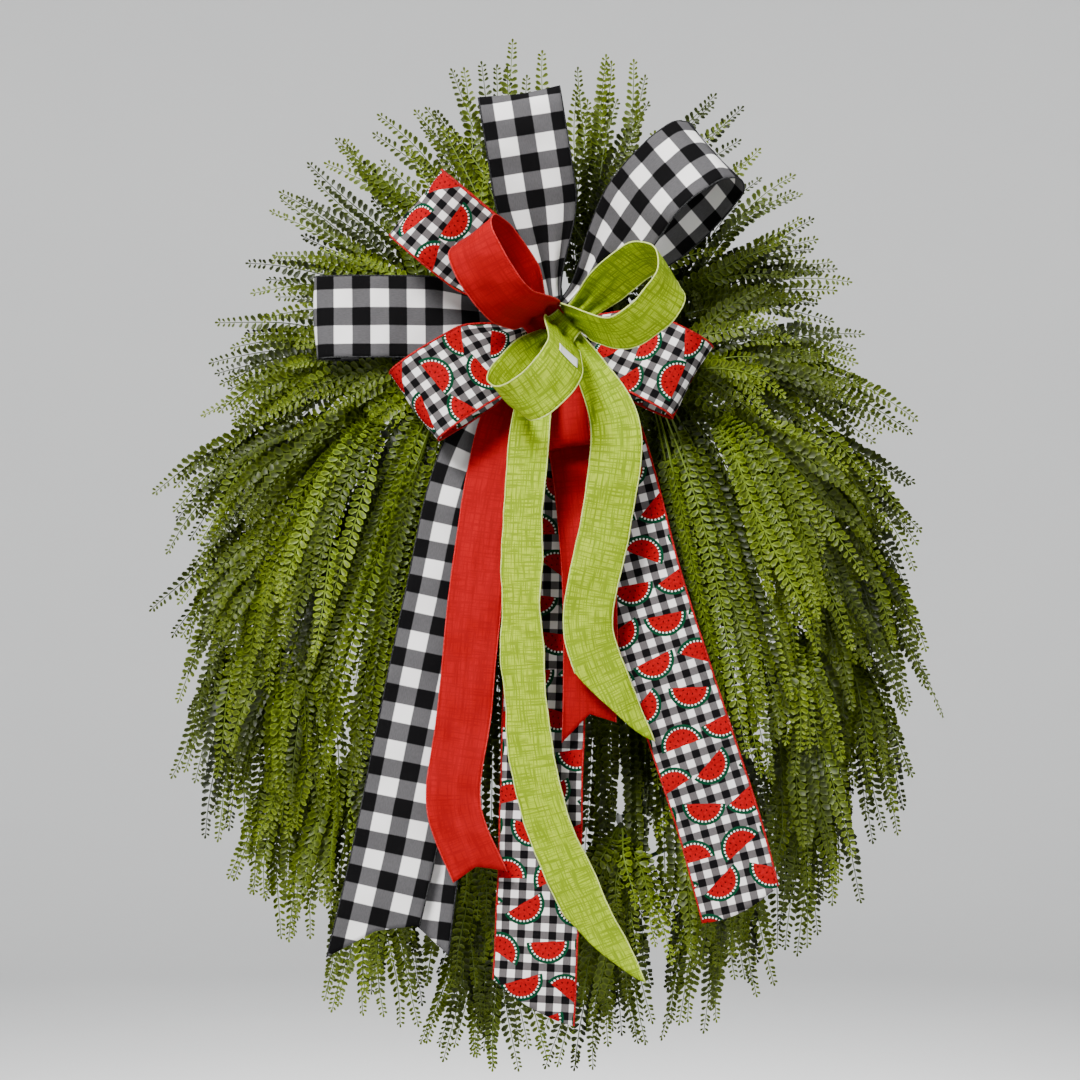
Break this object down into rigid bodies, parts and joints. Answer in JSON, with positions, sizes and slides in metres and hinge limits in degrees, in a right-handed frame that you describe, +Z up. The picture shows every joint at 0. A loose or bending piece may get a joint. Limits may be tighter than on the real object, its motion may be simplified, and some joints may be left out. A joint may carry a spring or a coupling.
{
  "type": "swag wreath",
  "caption": "Oval hanging wreath of weeping artificial fern on a round wire frame, with a many-looped ribbon bow at the top and long ribbon tails.",
  "frame": {"origin": "where the hook bears, at the inside top of the hanging loop", "axes": "+Z up as it hangs, -Y out of its front, +X to the right as seen from the front"},
  "size_m": [0.5975, 0.2189, 0.8126],
  "materials": {
    "frame_wire": "satin green-coated wire",
    "fern": "soft satin moulded leaflets, yellower at the tips and darker inside",
    "chenille": "fuzzy chenille over wire",
    "check_ribbon": "black and off-white buffalo check, black frayed edges",
    "melon_ribbon": "small black and white gingham with melon slices, dark red stitched edges",
    "red_ribbon": "plain red linen weave",
    "green_ribbon": "lime green linen weave with darker slubs",
    "label": "matte blank woven label"
  },
  "bodies": {
    "root": {"wire_frame": "frame_wire", "hanging_loop": "frame_wire", "bow_tie": "chenille", "label": "label", "fern_outer_01": "fern", "fern_outer_02": "fern", "fern_outer_03": "fern", "fern_outer_04": "fern", "fern_outer_05": "fern", "fern_outer_06": "fern", "fern_outer_07": "fern", "fern_outer_08": "fern", "fern_outer_09": "fern", "fern_outer_10": "fern", "fern_outer_11": "fern", "fern_outer_12": "fern", "fern_outer_13": "fern", "fern_outer_14": "fern", "fern_outer_15": "fern", "fern_outer_16": "fern", "fern_outer_17": "fern", "fern_outer_18": "fern", "fern_inner_01": "fern", "fern_inner_02": "fern", "fern_inner_03": "fern", "fern_inner_04": "fern", "fern_inner_05": "fern", "fern_inner_06": "fern", "fern_inner_07": "fern", "fern_inner_08": "fern", "fern_inner_09": "fern", "fern_inner_10": "fern", "fern_inner_11": "fern", "fern_inner_12": "fern", "fern_curtain_1": "fern", "fern_curtain_2": "fern", "fern_curtain_3": "fern", "fern_curtain_4": "fern", "fern_curtain_5": "fern", "fern_curtain_6": "fern", "plaid_loop_left": "check_ribbon", "plaid_loop_top": "check_ribbon", "plaid_loop_right": "check_ribbon", "melon_loop_lower": "melon_ribbon", "melon_loop_upper": "melon_ribbon", "melon_loop_right": "melon_ribbon", "red_loop_lower": "red_ribbon", "red_loop_top": "red_ribbon", "green_loop_right": "green_ribbon", "green_loop_lower": "green_ribbon", "plaid_tail_back": "check_ribbon", "plaid_tail_short": "check_ribbon", "plaid_tail_left": "check_ribbon", "melon_tail_middle": "melon_ribbon", "melon_tail_right": "melon_ribbon", "red_tail_left": "red_ribbon", "red_tail_right": "red_ribbon", "green_tail_left": "green_ribbon", "green_tail_right": "green_ribbon"}
  },
  "joints": []
}
